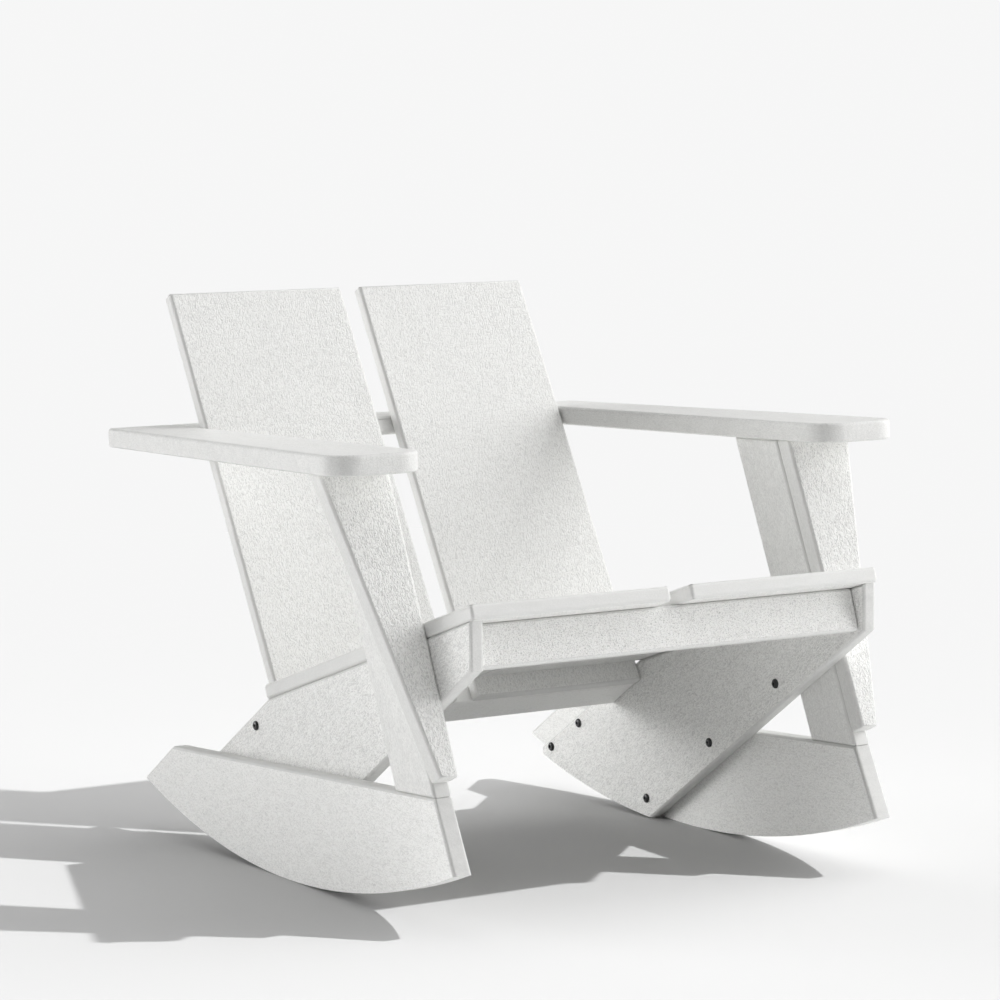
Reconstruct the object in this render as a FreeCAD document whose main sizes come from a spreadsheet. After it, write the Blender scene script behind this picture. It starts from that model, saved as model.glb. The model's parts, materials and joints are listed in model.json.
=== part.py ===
import FreeCAD
import Part
import Sketcher
import math
import os
import re

# Rocking garden chair of white plastic boards, with a raked back of two panels.
# Millimetres. X runs to the sitter's left hand and the viewer's right, the chair faces -Y and
# Z points up. The floor is Z = 0, and the chair is symmetric about the plane X = 0.
# "left" is the -X side. Side profiles are drawn in the YZ plane, with angles from the horizontal.

SIZES = [
    ("thick_board", 25.0, "rockers, legs, arms and back rails"),
    ("thin_board", 19.0, "side rails, seat, back and apron"),
    ("edge_round", 4.5, "router radius on the boards' long edges"),
    ("frame_half", 292.0, "centre plane to the inner faces of the rockers and legs"),
    ("panel_slot", 29.0, "slot between the two panels of the seat and of the back"),
    ("joint_gap", 0.2, "clearance where a square end meets a board"),
    ("rocker_radius", 1148.0, "curve that stands on the floor"),
    ("rocker_centre", 7.3, "Y of that curve's centre, under the chair's centre of gravity"),
    ("rocker_front", -400.2, "Y of the rocker's front foot"),
    ("rocker_front_rise", 84.4, "height of the front cut"),
    ("rocker_front_angle", 62.83, "front cut"),
    ("rocker_back", 399.8, "Y of the rear tip"),
    ("rocker_back_rise", 52.2, "height of the rear cut"),
    ("rocker_back_angle", 32.67, "rear cut"),
    ("seat_slope", 17.64, "fall of the seat to the rear"),
    ("rail_front", -399.2, "Y of the side rail's front edge"),
    ("rail_front_top", 369.8, "height of that edge's top"),
    ("rail_front_depth", 59.3, "length of that edge"),
    ("rail_low_angle", 33.53, "fall of the side rail's underside"),
    ("rail_back_angle", 32.27, "fall of its rear edge"),
    ("rail_corner", 97.9, "Y of the corner between the top and the rear edge"),
    ("rail_tail", 341.0, "Y of the blunt rear end"),
    ("back_angle", 60.23, "recline of the back"),
    ("back_step", 4.0, "side rail's corner to the front face of the back, level"),
    ("back_length", 606.0, "length of the back panels"),
    ("seat_overhang", 6.0, "seat in front of the side rails"),
    ("seat_back_gap", 0.4, "seat to the back panels"),
    ("apron_setback", 24.7, "side rail's front to the apron, along the slope"),
    ("apron_depth", 53.0, "height of the apron"),
    ("low_rail_width", 63.5, "lower back rail, on its underside"),
    ("leg_rake", 65.93, "lean of the leg"),
    ("leg_width", 85.5, "leg board, square to the rake"),
    ("face_lift", 17.5, "leg's foot to the foot of the board on its front"),
    ("face_foot", 25.0, "width of that board at its foot"),
    ("face_top", 97.0, "width of that board under the arm"),
    ("arm_front", -299.2, "Y of the arm's front end"),
    ("arm_front_top", 558.5, "height of its top there"),
    ("arm_slope", 1.64, "fall of the arm to the rear"),
    ("arm_length", 697.0, "length of the arm"),
    ("arm_front_inset", 7.0, "arm's inner edge inside the leg at the front, at the rear it meets the back"),
    ("arm_back_spread", 47.0, "arm outside the line of the leg at the rear"),
    ("arm_front_spread", 95.0, "arm outside the leg at the front"),
    ("arm_corner", 38.0, "radius of the arm's front corners"),
    ("arm_heel", 6.0, "radius of its rear outer corner"),
    ("arm_bevel", 2.5, "bevel round its underside"),
    ("bolt_thread", 6.0, "bolt diameter"),
    ("bolt_hole", 6.4, "hole for a bolt"),
    ("bolt_head", 12.4, "head diameter"),
    ("bolt_head_rise", 3.3, "height of the head"),
    ("bolt_grip", 16.0, "bolt beyond the side rail, in the rocker"),
    ("rail_bolt_grip", 30.0, "bolt beyond the side rail, in the lower back rail"),
    ("stub_depth", 15.0, "bolt that ends inside the side rail"),
    ("bolt_1_back", 315.5, "Y of the rear bolt"),
    ("bolt_1_rise", 62.1, "and its height"),
    ("bolt_2_back", 245.2, "Y of the next bolt"),
    ("bolt_2_rise", 105.4, "and its height"),
    ("bolt_3_back", 77.9, "Y of the lowest bolt"),
    ("bolt_3_rise", 26.6, "and its height"),
    ("bolt_pitch", 176.5, "spacing of the bolts along the underside"),
    ("rail_bolt_inset", 22.0, "bolt of the lower back rail to the back's foot"),
    ("rail_bolt_lift", 9.0, "and to that rail's underside"),
]

# Places that follow from the sizes. Each name may use the sizes and the names above it.
PLACES = [
    # Feet and top corners of the rocker.
    ("foot_z", "rocker_radius - sqrt(rocker_radius^2 - (rocker_front - rocker_centre)^2)"),
    ("tip_z", "rocker_radius - sqrt(rocker_radius^2 - (rocker_back - rocker_centre)^2)"),
    ("leg_y", "rocker_front + rocker_front_rise / tan(rocker_front_angle)"),
    ("leg_z", "foot_z + rocker_front_rise"),
    ("heel_y", "rocker_back - rocker_back_rise / tan(rocker_back_angle)"),
    ("heel_z", "tip_z + rocker_back_rise"),
    ("rocker_fall", "atan((leg_z - heel_z) / (heel_y - leg_y)) / 1 deg"),
    # Side rail: corner under the back, tail, and the point where its underside meets the curve.
    ("corner_z", "rail_front_top - (rail_corner - rail_front) * tan(seat_slope)"),
    ("tail_top", "corner_z - (rail_tail - rail_corner) * tan(rail_back_angle)"),
    ("tail_low", "rocker_radius - sqrt(rocker_radius^2 - (rail_tail - rocker_centre)^2)"),
    ("low_z", "rail_front_top - rail_front_depth"),
    ("low_b", "(rail_front - rocker_centre) * cos(rail_low_angle)"
              " + (rocker_radius - low_z) * sin(rail_low_angle)"),
    ("low_c", "(rail_front - rocker_centre)^2 + (rocker_radius - low_z)^2 - rocker_radius^2"),
    ("low_run", "sqrt(low_b^2 - low_c) - low_b"),
    # Back: the front face passes through (back_y, corner_z), the rear face through (rear_y, corner_z).
    ("back_y", "rail_corner + back_step"),
    ("rear_y", "back_y + thin_board / sin(back_angle)"),
    # Lower back rail, flush with the side rails' rear edges, its underside level with the back's foot.
    ("low_rail_run", "(rear_y - rail_corner) * sin(back_angle) / sin(back_angle + rail_back_angle)"),
    ("under_run", "low_rail_run - thick_board / tan(back_angle + rail_back_angle)"),
    ("under_y", "rail_corner - thick_board * sin(rail_back_angle) + under_run * cos(rail_back_angle)"),
    ("under_z", "corner_z - thick_board * cos(rail_back_angle) - under_run * sin(rail_back_angle)"),
    # Leg: length of its front edge up to the arm, and of its foot and its top.
    ("arm_under_y", "arm_front - thick_board * sin(arm_slope)"),
    ("arm_under_z", "arm_front_top - thick_board * cos(arm_slope)"),
    ("leg_run", "(arm_under_z - leg_z - (leg_y - arm_under_y) * tan(arm_slope)) * cos(arm_slope)"
                " / sin(leg_rake + arm_slope)"),
    ("leg_foot", "leg_width / sin(leg_rake + rocker_fall)"),
    ("leg_head", "leg_width / sin(leg_rake + arm_slope)"),
    ("face_run", "leg_run - thick_board / tan(leg_rake + arm_slope)"),
    # Upper back rail, between the planes of the arm: its edge on the back and its rear edge.
    ("arm_end_y", "arm_front + arm_length * cos(arm_slope)"),
    ("arm_end_z", "arm_front_top - arm_length * sin(arm_slope)"),
    ("up_run", "(corner_z - (rear_y * tan(back_angle)) + arm_end_y * tan(back_angle) - arm_end_z)"
               " / (tan(back_angle) * cos(arm_slope) + sin(arm_slope))"),
    ("up_low_run", "up_run + thick_board / tan(back_angle + arm_slope)"),
    # Widths of the panels.
    ("panel_half", "panel_slot / 2"),
    ("inner_half", "frame_half - thin_board"),
    ("back_width", "inner_half - joint_gap - panel_half"),
    # Edges of the arm, from the centre plane.
    ("arm_front_inner", "frame_half - arm_front_inset"),
    ("arm_back_outer", "frame_half + thick_board + arm_back_spread"),
    ("arm_front_outer", "frame_half + thick_board + arm_front_spread"),
]

doc = FreeCAD.newDocument("RockingChair")
sheet = doc.addObject("Spreadsheet::Sheet", "Sizes")
for row, (alias, value, note) in enumerate(SIZES, 1):
    sheet.set("A%d" % row, alias)
    sheet.set("B%d" % row, str(value))
    sheet.set("C%d" % row, note)
    sheet.setAlias("B%d" % row, alias)
doc.recompute()

aliases = [alias for alias, value, note in SIZES]
places = {}
standing = {}


def bound(text):
    """Turns a formula of size and place names into an expression on the sheet's cells."""
    def replace(match):
        word = match.group(0)
        if word in places:
            return places[word]
        return "Sizes." + word if word in aliases else word
    return re.sub(r"[a-z][a-z_0-9]*", replace, str(text))


for name, formula in PLACES:
    places[name] = "(" + bound(formula) + ")"


def number(text):
    """The present value of a formula."""
    return float(sheet.evalExpression(bound(text)))


def along(start, length, angle):
    """The point at a length from start in the YZ plane, in a direction given as an angle."""
    return ("(%s) + (%s) * cos(%s)" % (start[0], length, angle),
            "(%s) + (%s) * sin(%s)" % (start[1], length, angle))


def new_body(label):
    body = doc.addObject("PartDesign::Body", label)
    body.Label = label
    body.AllowCompound = True
    return body


def origin_plane(body, role):
    return [item for item in body.Origin.OriginFeatures if item.Role == role][0]


def stand(body, start):
    """Lets a body draw its profile in its own XY plane and stand upright with its foot at X = start."""
    body.Placement = FreeCAD.Placement(FreeCAD.Vector(0, 0, 0), FreeCAD.Rotation(90, 0, 90))
    body.setExpression("Placement.Base.x", bound(start))
    standing[body.Name] = start


def side_sketch(body, x):
    """A sketch parallel to the YZ plane, at x. Its axes are Y and Z."""
    sketch = body.newObject("Sketcher::SketchObject", body.Label + "_side")
    if body.Name in standing:
        sketch.AttachmentSupport = (origin_plane(body, "XY_Plane"), "")
        x = "(%s) - (%s)" % (x, standing[body.Name])
    else:
        sketch.AttachmentSupport = (origin_plane(body, "YZ_Plane"), "")
    sketch.MapMode = "FlatFace"
    sketch.setExpression("AttachmentOffset.Base.z", bound(x))
    return sketch


def tilted_sketch(body, plane):
    """A sketch in a plane that climbs at an angle from (0, y, z): its axes are X and the climb."""
    y, z, angle = plane
    sketch = body.newObject("Sketcher::SketchObject", body.Label + "_tilted")
    sketch.AttachmentSupport = (origin_plane(body, "XY_Plane"), "")
    sketch.MapMode = "FlatFace"
    turn = FreeCAD.Rotation(FreeCAD.Vector(1, 0, 0), number(angle))
    sketch.AttachmentOffset = FreeCAD.Placement(FreeCAD.Vector(0, 0, 0), turn)
    sketch.setExpression("AttachmentOffset.Rotation.Angle", bound(angle))
    sketch.setExpression("AttachmentOffset.Base.y", bound(y))
    sketch.setExpression("AttachmentOffset.Base.z", bound(z))
    return sketch


def pin(sketch, kind, where, formula):
    """Adds a dimension that follows a formula."""
    index = sketch.addConstraint(Sketcher.Constraint(kind, *where, number(formula)))
    sketch.setExpression("Constraints[%d]" % index, bound(formula))


def pin_point(sketch, geometry, position, point):
    for kind, formula in (("DistanceX", point[0]), ("DistanceY", point[1])):
        pin(sketch, kind, (-1, 1, geometry, position), formula)


def outline(sketch, points, curved=()):
    """A closed outline. A side listed in curved is an arc of the rocker's curve."""
    spots = [FreeCAD.Vector(number(a), number(b), 0) for a, b in points]
    count = len(points)
    centre = FreeCAD.Vector(number("rocker_centre"), number("rocker_radius"), 0)
    ends = []
    for i in range(count):
        start, end = spots[i], spots[(i + 1) % count]
        if i in curved:
            first, last = sorted(math.atan2(p.y - centre.y, p.x - centre.x) for p in (start, end))
            circle = Part.Circle(centre, FreeCAD.Vector(0, 0, 1), number("rocker_radius"))
            sketch.addGeometry(Part.ArcOfCircle(circle, first, last), False)
            ends.append((1, 2) if start.x < end.x else (2, 1))
        else:
            sketch.addGeometry(Part.LineSegment(start, end), False)
            ends.append((1, 2))
    for i in range(count):
        following = (i + 1) % count
        sketch.addConstraint(Sketcher.Constraint("Coincident", i, ends[i][1], following, ends[following][0]))
        pin_point(sketch, i, ends[i][0], points[i])
        if i in curved:
            pin(sketch, "Radius", (i,), "rocker_radius")
    return sketch


def circles(sketch, centres, width):
    for i, (a, b) in enumerate(centres):
        spot = FreeCAD.Vector(number(a), number(b), 0)
        sketch.addGeometry(Part.Circle(spot, FreeCAD.Vector(0, 0, 1), number(width) / 2), False)
        pin_point(sketch, i, 3, (a, b))
        pin(sketch, "Diameter", (i,), width)
    return sketch


def pad(body, sketch, length, back=False):
    feature = body.newObject("PartDesign::Pad", body.Label + "_pad")
    feature.Profile = sketch
    feature.Reversed = back
    feature.setExpression("Length", bound(length))
    doc.recompute()
    return feature


def pocket(body, sketch, depth, forward, volume=None):
    """Cuts a sketch to a depth, along the sketch's normal where forward is set."""
    before = body.Shape.Volume
    feature = body.newObject("PartDesign::Pocket", body.Label + "_cut")
    feature.Profile = sketch
    feature.Reversed = forward
    feature.setExpression("Length", bound(depth))
    doc.recompute()
    cut = before - body.Shape.Volume
    if cut < 1.0 or (volume and abs(cut - volume) > 0.02 * volume + 1e-4 * before):
        raise ValueError("%s: a cut took %.1f instead of %s" % (body.Label, cut, volume))
    return feature


def drill(body, sketch, centres, width, depth, forward):
    """Round blind bores, all of one width and depth."""
    circles(sketch, centres, width)
    whole = len(centres) * math.pi * number(width) ** 2 / 4 * number(depth)
    return pocket(body, sketch, depth, forward, whole)


def edges_on(shape, planes):
    """The names of the edges that lie in one of the planes, each a point and a normal."""
    names = []
    for i, edge in enumerate(shape.Edges, 1):
        middle = edge.valueAt((edge.FirstParameter + edge.LastParameter) / 2)
        spots = [vertex.Point for vertex in edge.Vertexes] + [middle]
        if any(all(abs((spot - point).dot(normal)) < 1e-3 for spot in spots) for point, normal in planes):
            names.append("Edge%d" % i)
    return names


def bevel(body, names, size):
    base = body.Tip
    feature = body.newObject("PartDesign::Chamfer", body.Label + "_bevel")
    feature.Base = (base, names)
    feature.setExpression("Size", bound(size))
    doc.recompute()
    return feature


def fillet(body, names, radius):
    base = body.Tip
    feature = body.newObject("PartDesign::Fillet", body.Label + "_round")
    feature.Base = (base, names)
    feature.setExpression("Radius", bound(radius))
    doc.recompute()
    return feature


def round_over(body, planes, straight=False):
    """Rounds the edges of the board's two broad faces, or only the straight ones."""
    names = edges_on(body.Shape, planes)
    if straight:
        names = [name for name in names if body.Shape.getElement(name).Curve.TypeId == "Part::GeomLine"]
    fillet(body, names, "edge_round")


def x_plane(x):
    return (FreeCAD.Vector(number(x), 0, 0), FreeCAD.Vector(1, 0, 0))


def slope_plane(y, z, angle):
    turn = math.radians(number(angle))
    return (FreeCAD.Vector(0, number(y), number(z)), FreeCAD.Vector(0, -math.sin(turn), math.cos(turn)))


def on_side(side, near, far):
    """The lower X of a span that lies between near and far from the centre plane."""
    return near if side > 0 else "-(%s)" % far


def upright_board(label, side, near, far, points, curved=()):
    """A board that stands in a plane parallel to YZ, with its broad faces rounded over."""
    body = new_body(label)
    start = on_side(side, near, far)
    width = "(%s) - (%s)" % (far, near)
    stand(body, start)
    pad(body, outline(side_sketch(body, start), points, curved), width)
    round_over(body, [x_plane(start), x_plane("(%s) + (%s)" % (start, width))], True)
    return body


def cross_board(label, start, width, points, broad):
    """A board that runs along X. Its broad faces are the profile's sides listed in broad."""
    body = new_body(label)
    pad(body, outline(side_sketch(body, start), points), width)
    planes = []
    for i in broad:
        (y, z), (end_y, end_z) = points[i], points[(i + 1) % len(points)]
        angle = math.degrees(math.atan2(number(end_z) - number(z), number(end_y) - number(y)))
        planes.append(slope_plane(y, z, angle))
    round_over(body, planes)
    return body


# Slanting planes: a point in the YZ plane and the angle at which the plane climbs.
LEG_FACE = ("leg_y", "leg_z", "leg_rake")
ARM_TOP = ("arm_front", "arm_front_top", "-arm_slope")

# Bolts of a side rail, as (y, z). The first four reach the rocker, the fifth ends in the rail.
DEEP_BOLTS = [
    ("bolt_1_back", "bolt_1_rise"),
    ("bolt_2_back", "bolt_2_rise"),
    ("bolt_3_back", "bolt_3_rise"),
    ("bolt_3_back - bolt_pitch * cos(rail_low_angle)", "bolt_3_rise + bolt_pitch * sin(rail_low_angle)"),
]
STUB_BOLT = [
    ("bolt_3_back - 2 * bolt_pitch * cos(rail_low_angle)",
     "bolt_3_rise + 2 * bolt_pitch * sin(rail_low_angle)"),
]

# Profiles in the YZ plane.
rocker = [
    ("rocker_front", "foot_z"),
    ("rocker_back", "tip_z"),
    ("heel_y", "heel_z"),
    ("leg_y", "leg_z"),
]
side_rail = [
    along(("rail_front", "low_z"), "low_run", "-rail_low_angle"),
    ("rail_tail", "tail_low"),
    ("rail_tail", "tail_top"),
    ("rail_corner", "corner_z"),
    ("rail_front", "rail_front_top"),
    ("rail_front", "low_z"),
]
leg = [
    ("leg_y", "leg_z"),
    along(("leg_y", "leg_z"), "leg_foot", "-rocker_fall"),
    along(along(("leg_y", "leg_z"), "leg_run", "leg_rake"), "leg_head", "-arm_slope"),
    along(("leg_y", "leg_z"), "leg_run", "leg_rake"),
]
face_start = along(("leg_y", "leg_z"), "face_lift", "leg_rake")
face_front = along(("leg_y", "leg_z"), "thick_board", "leg_rake + 90")
face = [
    face_start,
    leg[3],
    along(face_front, "face_run", "leg_rake"),
    along(face_start, "thick_board", "leg_rake + 90"),
]
seat_start = along(("rail_front", "rail_front_top"), "-seat_overhang", "-seat_slope")
seat_run = ("seat_overhang + (rail_corner - rail_front) / cos(seat_slope) - seat_back_gap"
            " + back_step * sin(back_angle) / sin(back_angle + seat_slope)")
seat = [
    seat_start,
    along(seat_start, seat_run, "-seat_slope"),
    along(along(seat_start, seat_run, "-seat_slope"), "thin_board", "90 - seat_slope"),
    along(seat_start, "thin_board", "90 - seat_slope"),
]
apron_top = along(("rail_front", "rail_front_top"), "apron_setback", "-seat_slope")
apron_rear = along(apron_top, "thin_board", "-seat_slope")
apron = [
    apron_top,
    along(apron_top, "-apron_depth", "90 - seat_slope"),
    along(apron_rear, "-apron_depth", "90 - seat_slope"),
    apron_rear,
]
back_foot = ("under_y", "under_z")
back = [
    back_foot,
    along(back_foot, "back_length", "back_angle"),
    along(along(back_foot, "back_length", "back_angle"), "thin_board", "back_angle + 90"),
    along(back_foot, "thin_board", "back_angle + 90"),
]
low_rail = [
    along(("rail_corner", "corner_z"), "low_rail_run", "-rail_back_angle"),
    back_foot,
    along(back_foot, "low_rail_width", "-rail_back_angle"),
    along(along(back_foot, "low_rail_width", "-rail_back_angle"), "thick_board", "90 - rail_back_angle"),
]
arm_end = ("arm_end_y", "arm_end_z")
arm_end_low = along(arm_end, "-thick_board", "90 - arm_slope")
up_rail = [
    along(arm_end, "-up_run", "-arm_slope"),
    along(arm_end_low, "-up_low_run", "-arm_slope"),
    arm_end_low,
    arm_end,
]

nodes = []
SIDES = ((-1, "left"), (1, "right"))
rail_bolt = [along(along(back_foot, "rail_bolt_inset", "-rail_back_angle"),
                   "rail_bolt_lift", "90 - rail_back_angle")]

# Rockers and legs, the 25 mm boards of each side.
for side, word in SIDES:
    body = upright_board("rocker_" + word, side, "frame_half", "frame_half + thick_board", rocker, (0,))
    inner = "%sframe_half" % ("-" if side < 0 else "")
    drill(body, side_sketch(body, inner), DEEP_BOLTS, "bolt_thread", "bolt_grip", side > 0)
    nodes.append(body)
    nodes.append(upright_board("leg_" + word, side, "frame_half", "frame_half + thick_board", leg))

# Tapered boards on the front of the legs: flush inside, spreading outwards to the arm.
for side, word in SIDES:
    body = new_body("leg_front_" + word)
    start = on_side(side, "frame_half", "frame_half + face_top")
    pad(body, outline(side_sketch(body, start), face), "face_top")
    taper = tilted_sketch(body, LEG_FACE)
    sign = "-" if side < 0 else ""
    slant = "(face_top - face_foot) / (leg_run - face_lift)"
    outline(taper, [
        ("%s(frame_half + face_foot)" % sign, "face_lift"),
        ("%s(frame_half + face_top)" % sign, "leg_run"),
        ("%s(frame_half + face_top + edge_round)" % sign, "leg_run"),
        ("%s(frame_half + face_top + edge_round)" % sign, "face_lift - edge_round"),
        ("%s(frame_half + face_foot - edge_round * %s)" % (sign, slant), "face_lift - edge_round"),
    ])
    pocket(body, taper, "thick_board", True)
    front_y, front_z = face_front
    round_over(body, [slope_plane("leg_y", "leg_z", "leg_rake"), slope_plane(front_y, front_z, "leg_rake")])
    nodes.append(body)

# Side rails, the 19 mm boards inside the rockers that carry the seat.
for side, word in SIDES:
    body = upright_board("side_rail_" + word, side, "inner_half", "frame_half", side_rail, (0,))
    inner = "%s(inner_half)" % ("-" if side < 0 else "")
    outer = "%s(frame_half)" % ("-" if side < 0 else "")
    drill(body, side_sketch(body, inner), DEEP_BOLTS, "bolt_hole", "thin_board", side > 0)
    drill(body, side_sketch(body, inner), STUB_BOLT, "bolt_hole", "stub_depth", side > 0)
    drill(body, side_sketch(body, outer), rail_bolt, "bolt_hole", "thin_board", side < 0)
    nodes.append(body)

# Seat panels, flush with the side rails' outer faces, and the apron under their front edge.
for side, word in SIDES:
    start = on_side(side, "panel_half", "frame_half")
    nodes.append(cross_board("seat_panel_" + word, start, "frame_half - panel_half", seat, (0, 2)))
inside = ("-(inner_half - joint_gap)", "2 * (inner_half - joint_gap)")
nodes.append(cross_board("front_apron", *inside, apron, (0, 2)))

# Back panels and the two rails behind them.
for side, word in SIDES:
    start = on_side(side, "panel_half", "panel_half + back_width")
    nodes.append(cross_board("back_panel_" + word, start, "back_width", back, (0, 2)))
body = cross_board("lower_back_rail", *inside, low_rail, (1, 3))
for side in (-1, 1):
    end = "%s(inner_half - joint_gap)" % ("-" if side < 0 else "")
    drill(body, side_sketch(body, end), rail_bolt, "bolt_thread", "rail_bolt_grip", side < 0)
nodes.append(body)
nodes.append(cross_board("upper_back_rail", *inside, up_rail, (1, 3)))

# Arms: straight inside, flaring outwards to the front, with large front corners.
for side, word in SIDES:
    sign = "-" if side < 0 else ""
    corners = [("arm_front_inner", "0"), ("inner_half", "arm_length"),
               ("arm_back_outer", "arm_length"), ("arm_front_outer", "0")]
    body = new_body("arm_" + word)
    plan = tilted_sketch(body, ARM_TOP)
    pad(body, outline(plan, [("%s(%s)" % (sign, x), y) for x, y in corners]), "thick_board", True)
    for x, y, radius in (corners[0] + ("arm_corner",), corners[3] + ("arm_corner",),
                         corners[2] + ("arm_heel",)):
        spot = FreeCAD.Vector(number("%s(%s)" % (sign, x)), number("arm_front + (%s) * cos(arm_slope)" % y),
                              number("arm_front_top - (%s) * sin(arm_slope)" % y))
        across = FreeCAD.Vector(0, math.sin(math.radians(number("arm_slope"))),
                                math.cos(math.radians(number("arm_slope"))))
        names = []
        for i, edge in enumerate(body.Shape.Edges, 1):
            if all((vertex.Point - spot).cross(across).Length < 1e-3 for vertex in edge.Vertexes):
                names.append("Edge%d" % i)
        fillet(body, names, radius)
    round_over(body, [slope_plane("arm_front", "arm_front_top", "-arm_slope")])
    bevel(body, edges_on(body.Shape, [slope_plane("arm_under_y", "arm_under_z", "-arm_slope")]), "arm_bevel")
    nodes.append(body)


def bolts(label, head_side, seat_x, centres, lengths):
    """Bolts along X, their heads' undersides at seat_x. head_side is the way the heads point."""
    body = new_body(label)
    for spots, length in zip(centres, lengths):
        pad(body, circles(side_sketch(body, seat_x), spots, "bolt_thread"), length, head_side > 0)
    pad(body, circles(side_sketch(body, seat_x), sum(centres, []), "bolt_head"), "bolt_head_rise", head_side < 0)
    nodes.append(body)


for side, word in SIDES:
    sign = "-" if side < 0 else ""
    bolts("frame_bolts_" + word, -side, "%s(inner_half)" % sign, [DEEP_BOLTS, STUB_BOLT],
          ["thin_board + bolt_grip", "stub_depth"])
    bolts("rail_bolt_" + word, side, "%s(frame_half)" % sign, [rail_bolt],
          ["thin_board + joint_gap + rail_bolt_grip"])

doc.recompute()
for item in doc.Objects:
    if "Invalid" in item.State or "Error" in item.State:
        raise ValueError("%s is %s" % (item.Label, item.State))
for body in nodes:
    if body.Shape.isNull() or not body.Shape.isValid() or not body.Shape.Solids:
        raise ValueError("%s has no valid solid" % body.Label)

os.makedirs("parts", exist_ok=True)
for body in nodes:
    body.Shape.exportStep("parts/%s.step" % body.Label)

total = sum(body.Shape.Volume for body in nodes)
middle = sum((solid.CenterOfMass.y * solid.Volume for body in nodes for solid in body.Shape.Solids), 0.0)
print("%d pieces, %.4f litres, centre of gravity at Y = %.2f" % (len(nodes), total / 1e6, middle / total))
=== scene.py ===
import bpy
import bmesh
import json
import math
from mathutils import Matrix, Vector

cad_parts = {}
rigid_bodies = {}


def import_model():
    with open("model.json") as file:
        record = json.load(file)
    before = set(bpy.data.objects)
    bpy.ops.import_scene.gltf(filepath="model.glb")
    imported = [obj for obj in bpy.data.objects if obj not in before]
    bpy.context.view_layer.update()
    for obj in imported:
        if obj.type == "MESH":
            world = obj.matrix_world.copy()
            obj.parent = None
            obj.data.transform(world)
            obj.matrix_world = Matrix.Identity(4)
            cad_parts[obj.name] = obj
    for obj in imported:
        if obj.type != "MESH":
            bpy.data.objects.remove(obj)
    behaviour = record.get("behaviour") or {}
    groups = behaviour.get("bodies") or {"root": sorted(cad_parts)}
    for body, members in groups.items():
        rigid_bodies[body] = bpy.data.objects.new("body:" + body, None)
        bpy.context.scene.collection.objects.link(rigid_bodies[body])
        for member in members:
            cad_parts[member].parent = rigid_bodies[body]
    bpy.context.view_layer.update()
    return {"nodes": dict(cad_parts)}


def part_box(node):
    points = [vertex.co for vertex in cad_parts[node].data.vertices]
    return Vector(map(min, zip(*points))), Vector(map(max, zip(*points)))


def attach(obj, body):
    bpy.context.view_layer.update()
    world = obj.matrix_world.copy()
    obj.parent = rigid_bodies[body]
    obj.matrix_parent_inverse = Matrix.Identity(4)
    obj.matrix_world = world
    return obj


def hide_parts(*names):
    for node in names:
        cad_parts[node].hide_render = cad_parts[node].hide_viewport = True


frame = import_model()
nodes = frame["nodes"]
scene = bpy.context.scene

X, Z = Vector((1, 0, 0)), Vector((0, 0, 1))


def climb(angle):
    """The direction in the side view that climbs at an angle from +Y, in degrees."""
    return Vector((0, math.cos(math.radians(angle)), math.sin(math.radians(angle))))


# Node trees

class Tree:
    """A small helper for building a node tree."""

    def __init__(self, tree, output):
        self.tree = tree
        self.tree.nodes.clear()
        self.out = self.tree.nodes.new(output)

    def add(self, kind, inputs=None, **settings):
        node = self.tree.nodes.new(kind)
        for key, value in settings.items():
            setattr(node, key, value)
        for key, value in (inputs or {}).items():
            if isinstance(value, bpy.types.NodeSocket):
                self.tree.links.new(value, node.inputs[key])
            else:
                node.inputs[key].default_value = value
        return node

    def math(self, operation, a, b=0.0):
        return self.add("ShaderNodeMath", {0: a, 1: b}, operation=operation).outputs[0]

    def vector(self, operation, a, b):
        return self.add("ShaderNodeVectorMath", {0: a, 1: b}, operation=operation).outputs[0]

    def scale(self, vector, factor):
        return self.add("ShaderNodeVectorMath", {0: vector, "Scale": factor}, operation="SCALE").outputs[0]

    def dot(self, vector, axis):
        made = self.add("ShaderNodeVectorMath", {0: vector, 1: tuple(axis)}, operation="DOT_PRODUCT")
        return made.outputs["Value"]

    def length(self, vector):
        return self.add("ShaderNodeVectorMath", {0: vector}, operation="LENGTH").outputs["Value"]

    def noise(self, vector, scale, detail=2.0, roughness=0.5, output="Fac"):
        return self.add("ShaderNodeTexNoise", {"Vector": vector, "Scale": scale, "Detail": detail,
                                               "Roughness": roughness}).outputs[output]

    def between(self, value, low, high):
        """value from low to high taken smoothly to 0 to 1."""
        return self.add("ShaderNodeMapRange", {0: value, 1: low, 2: high, 3: 0.0, 4: 1.0},
                        interpolation_type="SMOOTHSTEP").outputs[0]

    def blend(self, factor, a, b):
        """b weighted by factor and a by the rest, for plain numbers a and b."""
        return self.math("ADD", self.math("MULTIPLY", factor, b - a), a)

    def mix(self, factor, a, b):
        return self.add("ShaderNodeMix", {0: factor, 6: a, 7: b}, data_type="RGBA").outputs[2]

    def end(self, shader):
        self.tree.links.new(shader.outputs[0], self.out.inputs[0])


def material(name):
    made = bpy.data.materials.new(name)
    made.use_nodes = True
    return made, Tree(made.node_tree, "ShaderNodeOutputMaterial")


# Plastic

WHITE = (0.862, 0.862, 0.845)
LIGHTEST = 1.15                      # the most that a spot is lighter than WHITE
FACE_TILT = (0.94, 0.995)            # cosine to the broad face where its skin begins, and where it is whole
DRIFT_SIZE, DRIFT = 0.006, 3.5       # metres over which the strokes wander, and how far, in strokes
BARK_RANGE = (0.34, 0.66)
FOLD_SCALE, FOLD_WIDTH = 0.7, 0.10
PORE_SCALE, PORE_SHARE = 900.0, 0.1
CLOUD_RANGE = (0.32, 0.68)
SKIN_MEAN = 0.55
GLOSS_SPREAD = 0.24
BOARD_DEEP = 0.02                    # metres of depth that count as one step of the clouds


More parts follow.
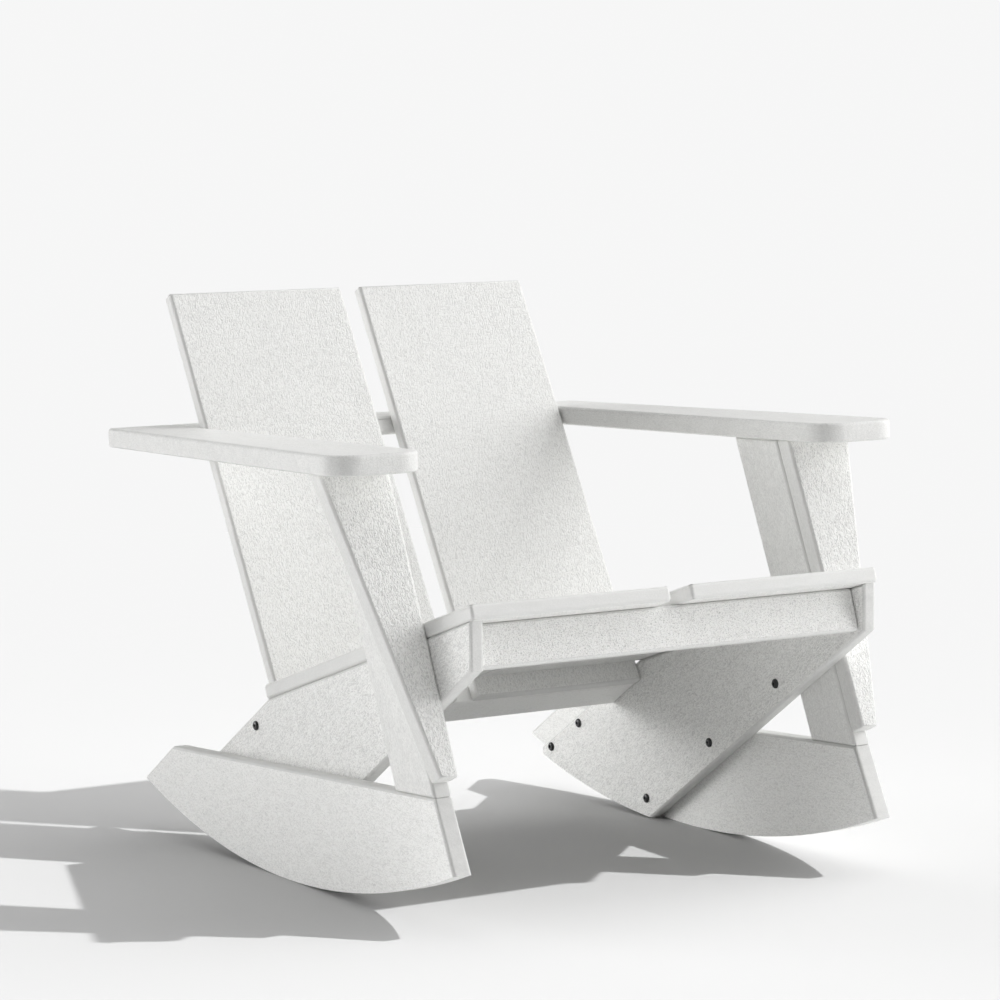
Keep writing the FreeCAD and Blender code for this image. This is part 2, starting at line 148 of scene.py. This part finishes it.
def plastic(name, across, along, depth, stroke, contrast, wrinkle, cloud, cloud_size=(0.045, 0.045),
            rough=0.5, face_painted_light=1.06, edge_painted_light=0.89, edge_skin=0.2):
    """White board plastic: a skin of short irregular strokes on the broad faces, and smooth cut edges.

    across and along are two directions in the broad face, and the strokes lie mostly along the second.
    stroke is their width and length, and depth the height of the skin, all in metres. contrast is how
    far the strokes differ in tone, wrinkle the share of fine folds in the skin, and cloud the tone of
    the broad patches, which are cloud_size metres wide and long. face_painted_light and edge_painted_light
    are painted light
    and shade: how much lighter or darker than WHITE the broad faces and the cut edges are painted, set
    board by board for the light each board gets. edge_skin is how much of the skin the edges show.
    """
    made, t = material(name)
    coords = t.add("ShaderNodeTexCoord")
    place = coords.outputs["Object"]
    across, along = Vector(across).normalized(), Vector(along).normalized()
    out = across.cross(along)
    u, v, w = t.dot(place, across), t.dot(place, along), t.dot(place, out)

    def grid(wide, long, deep=BOARD_DEEP):
        return t.add("ShaderNodeCombineXYZ", {0: t.math("DIVIDE", u, wide), 1: t.math("DIVIDE", v, long),
                                              2: t.math("DIVIDE", w, deep)}).outputs[0]

    face = t.between(t.math("ABSOLUTE", t.dot(coords.outputs["Normal"], out)), *FACE_TILT)
    shown = t.blend(face, edge_skin, 1.0)

    drift = t.noise(grid(DRIFT_SIZE, DRIFT_SIZE), 1.0, 1.0, output="Color")
    drift = t.scale(t.vector("SUBTRACT", drift, (0.5, 0.5, 0.5)), DRIFT)
    bent = t.vector("ADD", grid(*stroke, stroke[0]), drift)
    bark = t.between(t.noise(bent, 1.0, 1.0), *BARK_RANGE)
    fold = t.math("ABSOLUTE", t.math("SUBTRACT", t.noise(bent, FOLD_SCALE, 0.0), 0.5))
    fold = t.between(fold, 0.0, FOLD_WIDTH)
    skin = t.math("ADD", t.math("MULTIPLY", bark, 1.0 - wrinkle), t.math("MULTIPLY", fold, wrinkle))
    pores = t.noise(place, PORE_SCALE, 2.0, 0.6)
    skin = t.math("ADD", t.math("MULTIPLY", skin, 1.0 - PORE_SHARE), t.math("MULTIPLY", pores, PORE_SHARE))
    blotch = t.between(t.noise(grid(*cloud_size), 1.0, 4.0, 0.6), *CLOUD_RANGE)

    pattern = t.math("MULTIPLY", t.math("SUBTRACT", skin, SKIN_MEAN), contrast)
    pattern = t.math("MULTIPLY", pattern, shown)
    tone = t.math("ADD", pattern, t.math("MULTIPLY", t.math("SUBTRACT", blotch, 0.5), cloud))
    # painted light and shade: faces and cut edges take the board's painted light level, plus the random
    # tone of strokes and patches
    level = t.math("MINIMUM", t.math("ADD", t.blend(face, edge_painted_light, face_painted_light), tone), LIGHTEST)
    gloss = t.math("ADD", rough, t.math("MULTIPLY", t.math("SUBTRACT", skin, 0.5), GLOSS_SPREAD))
    height = t.math("MULTIPLY", skin, shown)
    bump = t.add("ShaderNodeBump", {"Height": height, "Strength": 1.0, "Distance": depth})
    t.end(t.add("ShaderNodeBsdfPrincipled", {"Base Color": t.scale(WHITE, level), "Roughness": gloss,
                                             "Normal": bump.outputs[0], "IOR": 1.5,
                                             "Specular IOR Level": 0.35}))
    return made


# Bolt steel

def coated_steel(name):
    """Black coated steel with a fine grain, worn a little lighter where the coat is thin."""
    made, t = material(name)
    place = t.add("ShaderNodeTexCoord").outputs["Object"]
    grain = t.noise(place, 2400.0, 3.0)
    worn = t.between(t.noise(place, 420.0), 0.55, 0.75)
    colour = t.mix(worn, (0.010, 0.010, 0.011, 1), (0.045, 0.045, 0.048, 1))
    gloss = t.math("ADD", 0.20, t.math("MULTIPLY", grain, 0.25))
    bump = t.add("ShaderNodeBump", {"Height": grain, "Strength": 0.5, "Distance": 0.0001})
    t.end(t.add("ShaderNodeBsdfPrincipled", {"Base Color": colour, "Roughness": gloss, "Metallic": 0.3,
                                             "Normal": bump.outputs[0], "Coat Weight": 0.5}))
    return made


# The boards' directions in the side view, in degrees from +Y

BACK_CLIMB, LEG_CLIMB, LEG_ACROSS, APRON_CLIMB = 60.23, 65.93, -24.0, 72.36
SEAT_CLIMB, ARM_CLIMB, UPPER_RAIL_CLIMB, LOWER_RAIL_CLIMB = -17.64, -1.64, -1.6, -32.0
SIDE_RAIL_CLIMB, ROCKER_CLIMB = -33.0, -2.0

BROAD_STROKE = (0.0016, 0.0042)
SIDE_STROKE = (0.0017, 0.0042)
SIDE_CLOUD = (0.010, 0.022)

# face_painted_light and edge_painted_light below are painted light and shade: the boards are one plastic,
# and each board's faces and cut edges are painted lighter or darker for the light that falls on them
looks = {
    "back_panel": plastic("panel_back", X, climb(BACK_CLIMB), depth=0.00058, stroke=(0.0014, 0.0044),
                          contrast=0.38, wrinkle=0.35, cloud=0.02, face_painted_light=1.08),
    "leg_front": plastic("panel_leg", X, climb(LEG_CLIMB), depth=0.00085, stroke=(0.0015, 0.0048),
                         contrast=0.54, wrinkle=0.35, cloud=0.02, face_painted_light=1.08),
    "front_apron": plastic("panel_apron", climb(APRON_CLIMB), X, depth=0.00080, stroke=(0.0014, 0.0019),
                           contrast=0.75, wrinkle=0.35, cloud=0.02, face_painted_light=1.14),
    "seat_panel": plastic("panel_seat", X, climb(SEAT_CLIMB), depth=0.00040, stroke=BROAD_STROKE,
                          contrast=0.25, wrinkle=0.40, cloud=0.03, face_painted_light=1.0),
    "rocker": plastic("board_rocker", climb(ROCKER_CLIMB + 90), climb(ROCKER_CLIMB), depth=0.00042,
                      stroke=SIDE_STROKE, contrast=0.30, wrinkle=0.4, cloud=0.05, cloud_size=SIDE_CLOUD,
                      face_painted_light=1.07, edge_painted_light=0.84),
    "side_rail": plastic("board_rail", climb(SIDE_RAIL_CLIMB + 90), climb(SIDE_RAIL_CLIMB), depth=0.00052,
                         stroke=SIDE_STROKE, contrast=0.42, wrinkle=0.4, cloud=0.06, cloud_size=SIDE_CLOUD,
                         face_painted_light=1.02, edge_painted_light=0.84),
    "leg": plastic("board_leg", climb(LEG_ACROSS), climb(LEG_CLIMB), depth=0.00035, stroke=SIDE_STROKE,
                   contrast=0.20, wrinkle=0.4, cloud=0.04, cloud_size=SIDE_CLOUD, face_painted_light=0.96),
    "arm": plastic("board_arm", X, climb(ARM_CLIMB), depth=0.00030, stroke=BROAD_STROKE, contrast=0.16,
                   wrinkle=0.45, cloud=0.04, cloud_size=(0.006, 0.020), rough=0.42, face_painted_light=1.0,
                   edge_skin=0.9),
    # painted light on the lower back rail: its faces and cut edges are painted lighter because little light
    # reaches it
    "lower_back_rail": plastic("board_low", climb(LOWER_RAIL_CLIMB), X, depth=0.00040, stroke=BROAD_STROKE,
                               contrast=0.20, wrinkle=0.4, cloud=0.04, face_painted_light=1.12, edge_painted_light=1.08),
    "upper_back_rail": plastic("board_up", climb(UPPER_RAIL_CLIMB), X, depth=0.00035, stroke=BROAD_STROKE,
                               contrast=0.18, wrinkle=0.4, cloud=0.04),
    "bolt": coated_steel("black_steel"),
}
looks["frame_bolts"] = looks["rail_bolt"] = looks["bolt"]


# Looks and eased edges of the boards

EASE, SEAT_EASE = 0.0022, 0.0044
WELD_REACH = 0.00001
FLAT_ANGLE, SHARP_ANGLE = 0.5, 50


def dress(node, look):
    node.data.materials.clear()
    node.data.materials.append(look)
    for polygon in node.data.polygons:
        polygon.material_index = 0


def ease(node, width):
    """Rounds the edges that the CAD left sharp, as a router or sander leaves them."""
    weld = node.modifiers.new("weld", "WELD")
    weld.merge_threshold = WELD_REACH
    flat = node.modifiers.new("flat", "DECIMATE")
    flat.decimate_type = "DISSOLVE"
    flat.angle_limit = math.radians(FLAT_ANGLE)
    bevel = node.modifiers.new("ease", "BEVEL")
    bevel.width = width
    bevel.segments = 3
    bevel.limit_method = "ANGLE"
    bevel.angle_limit = math.radians(SHARP_ANGLE)
    shade = node.modifiers.new("shade", "WEIGHTED_NORMAL")
    shade.weight = 100


for name, node in nodes.items():
    key = max((k for k in looks if name.startswith(k)), key=len)
    dress(node, looks[key])
    if "bolt" not in name:
        ease(node, SEAT_EASE if name.startswith("seat") else EASE)


# Bolts, in metres

HEAD_RADIUS, HEAD_RISE, SHANK_RADIUS = 0.0062, 0.0032, 0.003
HEAD_FOOT = 0.90                     # the head's radius where it meets the board, as a share
RIM_LOW, RIM_HIGH = 0.0002, 0.0007   # the rim's straight part, over the board
DOME_STEPS, DOME_STEP = 7, 9.5       # steps of the dome, and degrees in each
DOME_FLAT = 0.30                     # the share of the head's radius that stays flat on top
SOCKET = 0.36                        # the hexagon socket's radius, as a share of the head's
SOCKET_LIP, SOCKET_EDGE = 1.22, 1.04
LIP_DROP, EDGE_DROP, SOCKET_DEPTH, SOCKET_FLOOR = 0.00015, 0.0004, 0.0021, 0.0025
FLOOR_SHARE = 0.4
SINK = 0.0001                        # how far the head's foot reaches into the board
AROUND = 48
HEXAGON = math.pi / 3
FRAME_BOLT_LENGTH, RAIL_BOLT_LENGTH = 0.015, 0.03
SMOOTH_ANGLE = 30


def bolt(mesh, centre, inward, head, rise, shank, length):
    """A button-head bolt with a hexagon socket, built into mesh.

    centre is the middle of the face that the head sits on. inward is the direction the shank runs.
    """
    inward = Vector(inward).normalized()
    side = Z.cross(inward).normalized()
    over = inward.cross(side)

    def ring(radius, lift, corners=False):
        points = []
        for i in range(AROUND):
            a = 2 * math.pi * i / AROUND
            r = radius
            if corners:
                r = radius / math.cos((a + HEXAGON / 2) % HEXAGON - HEXAGON / 2)
            spot = centre - inward * lift + side * (r * math.cos(a)) + over * (r * math.sin(a))
            points.append(mesh.verts.new(spot))
        return points

    rings = [ring(shank, -length), ring(shank, -2 * SINK), ring(head * HEAD_FOOT, -SINK),
             ring(head, RIM_LOW), ring(head, RIM_HIGH)]
    top = math.sin(math.radians(DOME_STEPS * DOME_STEP))
    for step in range(1, DOME_STEPS + 1):
        a = math.radians(step * DOME_STEP)
        radius = head * (DOME_FLAT + (1 - DOME_FLAT) * math.cos(a))
        rings.append(ring(radius, RIM_HIGH + (rise - RIM_HIGH) * math.sin(a) / top))
    socket = head * SOCKET
    rings += [ring(socket * SOCKET_LIP, rise), ring(socket * SOCKET_EDGE, rise - LIP_DROP, True),
              ring(socket, rise - EDGE_DROP, True), ring(socket, rise - SOCKET_DEPTH, True),
              ring(socket * FLOOR_SHARE, rise - SOCKET_FLOOR)]
    for a, b in zip(rings, rings[1:]):
        for i in range(AROUND):
            j = (i + 1) % AROUND
            mesh.faces.new((a[i], b[i], b[j], a[j]))
    mesh.faces.new(rings[-1])
    mesh.faces.new(list(reversed(rings[0])))


def bolts(name, replaced, places, inward, length):
    """One piece of button-head bolts in place of a CAD node's plain ones."""
    mesh = bmesh.new()
    for place in places:
        bolt(mesh, Vector(place), inward, HEAD_RADIUS, HEAD_RISE, SHANK_RADIUS, length)
    bmesh.ops.recalc_face_normals(mesh, faces=mesh.faces)
    for face in mesh.faces:
        face.smooth = True
    for edge in mesh.edges:
        edge.smooth = len(edge.link_faces) == 2 and edge.calc_face_angle(0) < math.radians(SMOOTH_ANGLE)
    data = bpy.data.meshes.new(name)
    mesh.to_mesh(data)
    mesh.free()
    data.materials.append(looks["bolt"])
    piece = bpy.data.objects.new(name, data)
    scene.collection.objects.link(piece)
    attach(piece, "root")
    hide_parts(replaced)


# Y and height of a side rail's bolts, from the rear, as in the CAD
FRAME_BOLTS = [(0.3155, 0.0621), (0.2452, 0.1054), (0.0779, 0.0266), (-0.0692, 0.1241), (-0.2163, 0.2216)]

for side, sign in (("left", -1), ("right", 1)):
    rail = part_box("side_rail_" + side)
    inner = rail[1][0] if sign < 0 else rail[0][0]
    outer = rail[0][0] if sign < 0 else rail[1][0]
    bolts("button_bolts_" + side, "frame_bolts_" + side,
          [(inner, y, z) for y, z in FRAME_BOLTS], (sign, 0, 0), FRAME_BOLT_LENGTH)
    low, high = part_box("rail_bolt_" + side)
    bolts("rail_button_bolt_" + side, "rail_bolt_" + side,
          [(outer, (low[1] + high[1]) / 2, (low[2] + high[2]) / 2)], (-sign, 0, 0), RAIL_BOLT_LENGTH)


# Floor

BACKGROUND = 0.925
LIGHT = (1.0, 1.0, 1.0, 1.0)
FLOOR_BOUNCE = (0.64, 0.64, 0.64, 1.0)
FLOOR_SEEN = (0.57, 0.57, 0.57, 1.0)
FLOOR_HALF = 40
FADE = (1.6, 3.6)                    # metres from the chair where the floor turns into the background


def floor_material():
    """Pale floor that keeps the shadow, and turns into the plain background far from the object."""
    made, t = material("studio_floor")
    seen = t.add("ShaderNodeLightPath").outputs["Is Camera Ray"]
    shader = t.add("ShaderNodeBsdfDiffuse", {"Color": t.mix(seen, FLOOR_BOUNCE, FLOOR_SEEN)})
    glow = t.add("ShaderNodeEmission", {"Color": LIGHT, "Strength": BACKGROUND})
    reach = t.length(t.add("ShaderNodeTexCoord").outputs["Object"])
    far = t.math("MULTIPLY", t.between(reach, *FADE), seen)
    t.end(t.add("ShaderNodeMixShader", {0: far, 1: shader.outputs[0], 2: glow.outputs[0]}))
    return made


floor_mesh = bpy.data.meshes.new("studio_floor")
corners = [(-FLOOR_HALF, -FLOOR_HALF, 0), (FLOOR_HALF, -FLOOR_HALF, 0),
           (FLOOR_HALF, FLOOR_HALF, 0), (-FLOOR_HALF, FLOOR_HALF, 0)]
floor_mesh.from_pydata(corners, [], [(0, 1, 2, 3)])
floor = bpy.data.objects.new("studio_floor", floor_mesh)
scene.collection.objects.link(floor)
floor_mesh.materials.append(floor_material())


# Soft light all round, as broad lights in the world: each a direction, how narrow it is, and its level

SKY = [((1, 0, 0), 2, 0.8), ((1, -0.6, 0.3), 8, 1.05), ((1, 0, 1), 8, 1.6), ((0, 0, 1), 8, 1.85),
       ((-0.7, 0.7, 0.15), 20, 6.3), ((-0.7, 0.7, 0.05), 40, 4.1)]

world = bpy.data.worlds.new("studio")
world.use_nodes = True
scene.world = world
sky = Tree(world.node_tree, "ShaderNodeOutputWorld")
ray = sky.add("ShaderNodeTexCoord").outputs["Generated"]
total = 0.0
for direction, power, level in SKY:
    lobe = sky.math("POWER", sky.math("MAXIMUM", sky.dot(ray, Vector(direction).normalized()), 0.0), power)
    total = sky.math("ADD", sky.math("MULTIPLY", lobe, level), total)
soft = sky.add("ShaderNodeBackground", {0: LIGHT, 1: total})
flat = sky.add("ShaderNodeBackground", {0: LIGHT, 1: BACKGROUND})
seen = sky.add("ShaderNodeLightPath").outputs["Is Camera Ray"]
sky.end(sky.add("ShaderNodeMixShader", {0: seen, 1: soft.outputs[0], 2: flat.outputs[0]}))


# Key light: a weak sun on everything, and a strong one on the floor alone, for its shadow

KEY_CHAIR, KEY_FLOOR, KEY_ANGLE = 0.20, 3.3, 1.2
toward = Vector((0.97, -0.575, 1.0)).normalized()


def sun(name, energy):
    data = bpy.data.lights.new(name, "SUN")
    data.energy = energy
    data.angle = math.radians(KEY_ANGLE)
    made = bpy.data.objects.new(name, data)
    scene.collection.objects.link(made)
    made.rotation_euler = toward.to_track_quat("Z", "Y").to_euler()
    return made


sun("key", KEY_CHAIR)
floor_key = sun("floor_key", KEY_FLOOR)
only_floor = bpy.data.collections.new("only_floor")
only_floor.objects.link(floor)
floor_key.light_linking.receiver_collection = only_floor


# A broad lamp on the chair alone, near its right front, so that its right side is a little lighter

SIDE_LAMP, LAMP_SIZE = 19.5, 1.2
LAMP_PLACE, LAMP_AIM = Vector((1.95, -1.65, 1.1)), Vector((0.0, 0.0, 0.35))

lamp_data = bpy.data.lights.new("side_lamp", "AREA")
lamp_data.shape = "SQUARE"
lamp_data.size = LAMP_SIZE
lamp_data.energy = SIDE_LAMP
lamp = bpy.data.objects.new("side_lamp", lamp_data)
scene.collection.objects.link(lamp)
lamp.location = LAMP_PLACE
lamp.rotation_euler = (LAMP_PLACE - LAMP_AIM).to_track_quat("Z", "Y").to_euler()
only_chair = bpy.data.collections.new("only_chair")
for thing in scene.collection.all_objects:
    if thing.type == "MESH" and thing is not floor:
        only_chair.objects.link(thing)
lamp.light_linking.receiver_collection = only_chair


# Camera, placed by a fit to the photograph's edges

SENSOR, LENS, FAR_CLIP = 36.0, 131.7, 100.0
CAMERA_PLACE = Vector((-2.4432, -3.94986, 0.96493))
right = Vector((0.8502604, -0.5262936, -0.0085053))
ahead = Vector((0.5223827, 0.8457050, -0.1090843))

camera_data = bpy.data.cameras.new("view")
camera_data.sensor_width = SENSOR
camera_data.lens = LENS
camera_data.clip_end = FAR_CLIP
camera = bpy.data.objects.new("view", camera_data)
scene.collection.objects.link(camera)
spot = Matrix((right, right.cross(ahead), -ahead)).transposed().to_4x4()
spot.translation = CAMERA_PLACE
camera.matrix_world = spot
scene.camera = camera

scene.view_settings.view_transform = "Standard"
